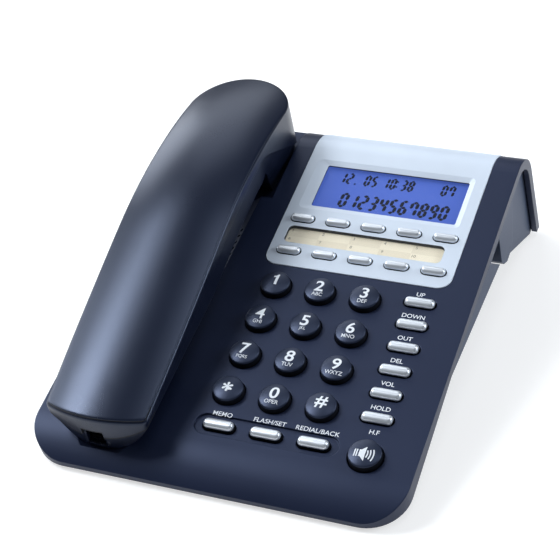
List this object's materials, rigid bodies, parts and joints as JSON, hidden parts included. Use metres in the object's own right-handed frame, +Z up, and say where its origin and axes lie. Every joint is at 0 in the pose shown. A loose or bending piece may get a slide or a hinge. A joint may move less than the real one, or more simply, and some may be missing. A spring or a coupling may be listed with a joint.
{
  "type": "corded desk telephone",
  "caption": "Sloping desk telephone with a handset lying in a bay, a blue display, a name card, round dial keys and silver function keys.",
  "frame": {"origin": "on the table, under the middle of the outline's box", "axes": "+X to the user's right, +Y from the user to the back of the base, +Z up"},
  "size_m": [0.157, 0.22, 0.0825],
  "materials": {
    "case_plastic": "fine matte, nearly black with a blue cast",
    "silver_plate": "satin silver paint",
    "clear_window": "clear plastic window",
    "display_glass": "liquid crystal glass lit blue from behind",
    "name_card": "cream card",
    "circuit_board": "green lacquer",
    "key_rubber": "moulded rubber",
    "speaker_frame": "black pressed frame and magnet",
    "capsule_metal": "drawn can",
    "white_plastic": "smooth",
    "dark_plastic": "smooth",
    "ivory_plastic": "smooth",
    "cell_wrap": "printed sleeve",
    "foot_rubber": "matte",
    "screw_steel": "plain",
    "black_key": "polished",
    "silver_key": "bright silver paint on plastic"
  },
  "bodies": {
    "base": {"top_cover": "case_plastic", "bottom_cover": "case_plastic", "face_plate": "silver_plate", "display_lens": "clear_window", "display_module": "display_glass", "index_card": "name_card", "index_cover": "clear_window", "main_board": "circuit_board", "key_mat": "key_rubber", "speaker": "speaker_frame", "hands_free_microphone": "capsule_metal", "hook_switch": "dark_plastic", "line_jack": "ivory_plastic", "cord_jack": "ivory_plastic", "batteries": "cell_wrap", "rubber_feet": "foot_rubber", "case_screws": "screw_steel"},
    "handset": {"handset_back": "case_plastic", "handset_front": "case_plastic", "earpiece": "capsule_metal", "handset_microphone": "capsule_metal", "handset_weight": "screw_steel", "handset_jack": "dark_plastic", "handset_screws": "screw_steel"},
    "hook": {"hook_plunger": "white_plastic"},
    "battery_door": {"battery_door": "case_plastic"},
    "key_1_body": {"key_1": "black_key"},
    "key_2_body": {"key_2": "black_key"},
    "key_3_body": {"key_3": "black_key"},
    "key_4_body": {"key_4": "black_key"},
    "key_5_body": {"key_5": "black_key"},
    "key_6_body": {"key_6": "black_key"},
    "key_7_body": {"key_7": "black_key"},
    "key_8_body": {"key_8": "black_key"},
    "key_9_body": {"key_9": "black_key"},
    "key_star_body": {"key_star": "black_key"},
    "key_0_body": {"key_0": "black_key"},
    "key_hash_body": {"key_hash": "black_key"},
    "hands_free_key_body": {"hands_free_key": "black_key"},
    "memory_key_1_body": {"memory_key_1": "silver_key"},
    "memory_key_2_body": {"memory_key_2": "silver_key"},
    "memory_key_3_body": {"memory_key_3": "silver_key"},
    "memory_key_4_body": {"memory_key_4": "silver_key"},
    "memory_key_5_body": {"memory_key_5": "silver_key"},
    "memory_key_6_body": {"memory_key_6": "silver_key"},
    "memory_key_7_body": {"memory_key_7": "silver_key"},
    "memory_key_8_body": {"memory_key_8": "silver_key"},
    "memory_key_9_body": {"memory_key_9": "silver_key"},
    "memory_key_10_body": {"memory_key_10": "silver_key"},
    "up_key_body": {"up_key": "silver_key"},
    "down_key_body": {"down_key": "silver_key"},
    "out_key_body": {"out_key": "silver_key"},
    "delete_key_body": {"delete_key": "silver_key"},
    "volume_key_body": {"volume_key": "silver_key"},
    "hold_key_body": {"hold_key": "silver_key"},
    "memo_key_body": {"memo_key": "silver_key"},
    "flash_key_body": {"flash_key": "silver_key"},
    "redial_key_body": {"redial_key": "silver_key"}
  },
  "joints": [
    {"name": "handset_lift", "type": "slide", "parent": "base", "child": "handset", "axis": [0, -0.2588, 0.9659], "range_m": [0, 0.12]},
    {"name": "hook_travel", "type": "slide", "parent": "base", "child": "hook", "axis": [0, -0.2588, 0.9659], "range_m": [0, 0.004]},
    {"name": "battery_door_drop", "type": "slide", "parent": "base", "child": "battery_door", "axis": [0, 0, -1], "range_m": [0, 0.02], "stiffness_N_per_m": 500},
    {"name": "key_1_press", "type": "slide", "parent": "base", "child": "key_1_body", "axis": [0, 0.2588, -0.9659], "range_m": [0, 0.0012], "stiffness_N_per_m": 500},
    {"name": "key_2_press", "type": "slide", "parent": "base", "child": "key_2_body", "axis": [0, 0.2588, -0.9659], "range_m": [0, 0.0012], "stiffness_N_per_m": 500},
    {"name": "key_3_press", "type": "slide", "parent": "base", "child": "key_3_body", "axis": [0, 0.2588, -0.9659], "range_m": [0, 0.0012], "stiffness_N_per_m": 500},
    {"name": "key_4_press", "type": "slide", "parent": "base", "child": "key_4_body", "axis": [0, 0.2588, -0.9659], "range_m": [0, 0.0012], "stiffness_N_per_m": 500},
    {"name": "key_5_press", "type": "slide", "parent": "base", "child": "key_5_body", "axis": [0, 0.2588, -0.9659], "range_m": [0, 0.0012], "stiffness_N_per_m": 500},
    {"name": "key_6_press", "type": "slide", "parent": "base", "child": "key_6_body", "axis": [0, 0.2588, -0.9659], "range_m": [0, 0.0012], "stiffness_N_per_m": 500},
    {"name": "key_7_press", "type": "slide", "parent": "base", "child": "key_7_body", "axis": [0, 0.2588, -0.9659], "range_m": [0, 0.0012], "stiffness_N_per_m": 500},
    {"name": "key_8_press", "type": "slide", "parent": "base", "child": "key_8_body", "axis": [0, 0.2588, -0.9659], "range_m": [0, 0.0012], "stiffness_N_per_m": 500},
    {"name": "key_9_press", "type": "slide", "parent": "base", "child": "key_9_body", "axis": [0, 0.2588, -0.9659], "range_m": [0, 0.0012], "stiffness_N_per_m": 500},
    {"name": "key_star_press", "type": "slide", "parent": "base", "child": "key_star_body", "axis": [0, 0.2588, -0.9659], "range_m": [0, 0.0012], "stiffness_N_per_m": 500},
    {"name": "key_0_press", "type": "slide", "parent": "base", "child": "key_0_body", "axis": [0, 0.2588, -0.9659], "range_m": [0, 0.0012], "stiffness_N_per_m": 500},
    {"name": "key_hash_press", "type": "slide", "parent": "base", "child": "key_hash_body", "axis": [0, 0.2588, -0.9659], "range_m": [0, 0.0012], "stiffness_N_per_m": 500},
    {"name": "hands_free_key_press", "type": "slide", "parent": "base", "child": "hands_free_key_body", "axis": [0, 0.2588, -0.9659], "range_m": [0, 0.0012], "stiffness_N_per_m": 500},
    {"name": "memory_key_1_press", "type": "slide", "parent": "base", "child": "memory_key_1_body", "axis": [0, 0.2588, -0.9659], "range_m": [0, 0.0012], "stiffness_N_per_m": 500},
    {"name": "memory_key_2_press", "type": "slide", "parent": "base", "child": "memory_key_2_body", "axis": [0, 0.2588, -0.9659], "range_m": [0, 0.0012], "stiffness_N_per_m": 500},
    {"name": "memory_key_3_press", "type": "slide", "parent": "base", "child": "memory_key_3_body", "axis": [0, 0.2588, -0.9659], "range_m": [0, 0.0012], "stiffness_N_per_m": 500},
    {"name": "memory_key_4_press", "type": "slide", "parent": "base", "child": "memory_key_4_body", "axis": [0, 0.2588, -0.9659], "range_m": [0, 0.0012], "stiffness_N_per_m": 500},
    {"name": "memory_key_5_press", "type": "slide", "parent": "base", "child": "memory_key_5_body", "axis": [0, 0.2588, -0.9659], "range_m": [0, 0.0012], "stiffness_N_per_m": 500},
    {"name": "memory_key_6_press", "type": "slide", "parent": "base", "child": "memory_key_6_body", "axis": [0, 0.2588, -0.9659], "range_m": [0, 0.0012], "stiffness_N_per_m": 500},
    {"name": "memory_key_7_press", "type": "slide", "parent": "base", "child": "memory_key_7_body", "axis": [0, 0.2588, -0.9659], "range_m": [0, 0.0012], "stiffness_N_per_m": 500},
    {"name": "memory_key_8_press", "type": "slide", "parent": "base", "child": "memory_key_8_body", "axis": [0, 0.2588, -0.9659], "range_m": [0, 0.0012], "stiffness_N_per_m": 500},
    {"name": "memory_key_9_press", "type": "slide", "parent": "base", "child": "memory_key_9_body", "axis": [0, 0.2588, -0.9659], "range_m": [0, 0.0012], "stiffness_N_per_m": 500},
    {"name": "memory_key_10_press", "type": "slide", "parent": "base", "child": "memory_key_10_body", "axis": [0, 0.2588, -0.9659], "range_m": [0, 0.0012], "stiffness_N_per_m": 500},
    {"name": "up_key_press", "type": "slide", "parent": "base", "child": "up_key_body", "axis": [0, 0.2588, -0.9659], "range_m": [0, 0.0012], "stiffness_N_per_m": 500},
    {"name": "down_key_press", "type": "slide", "parent": "base", "child": "down_key_body", "axis": [0, 0.2588, -0.9659], "range_m": [0, 0.0012], "stiffness_N_per_m": 500},
    {"name": "out_key_press", "type": "slide", "parent": "base", "child": "out_key_body", "axis": [0, 0.2588, -0.9659], "range_m": [0, 0.0012], "stiffness_N_per_m": 500},
    {"name": "delete_key_press", "type": "slide", "parent": "base", "child": "delete_key_body", "axis": [0, 0.2588, -0.9659], "range_m": [0, 0.0012], "stiffness_N_per_m": 500},
    {"name": "volume_key_press", "type": "slide", "parent": "base", "child": "volume_key_body", "axis": [0, 0.2588, -0.9659], "range_m": [0, 0.0012], "stiffness_N_per_m": 500},
    {"name": "hold_key_press", "type": "slide", "parent": "base", "child": "hold_key_body", "axis": [0, 0.2588, -0.9659], "range_m": [0, 0.0012], "stiffness_N_per_m": 500},
    {"name": "memo_key_press", "type": "slide", "parent": "base", "child": "memo_key_body", "axis": [0, 0.2588, -0.9659], "range_m": [0, 0.0012], "stiffness_N_per_m": 500},
    {"name": "flash_key_press", "type": "slide", "parent": "base", "child": "flash_key_body", "axis": [0, 0.2588, -0.9659], "range_m": [0, 0.0012], "stiffness_N_per_m": 500},
    {"name": "redial_key_press", "type": "slide", "parent": "base", "child": "redial_key_body", "axis": [0, 0.2588, -0.9659], "range_m": [0, 0.0012], "stiffness_N_per_m": 500}
  ],
  "couplings": [
    {"joint": "hook_travel", "follows": "handset_lift", "ratio": 0.033333}
  ]
}
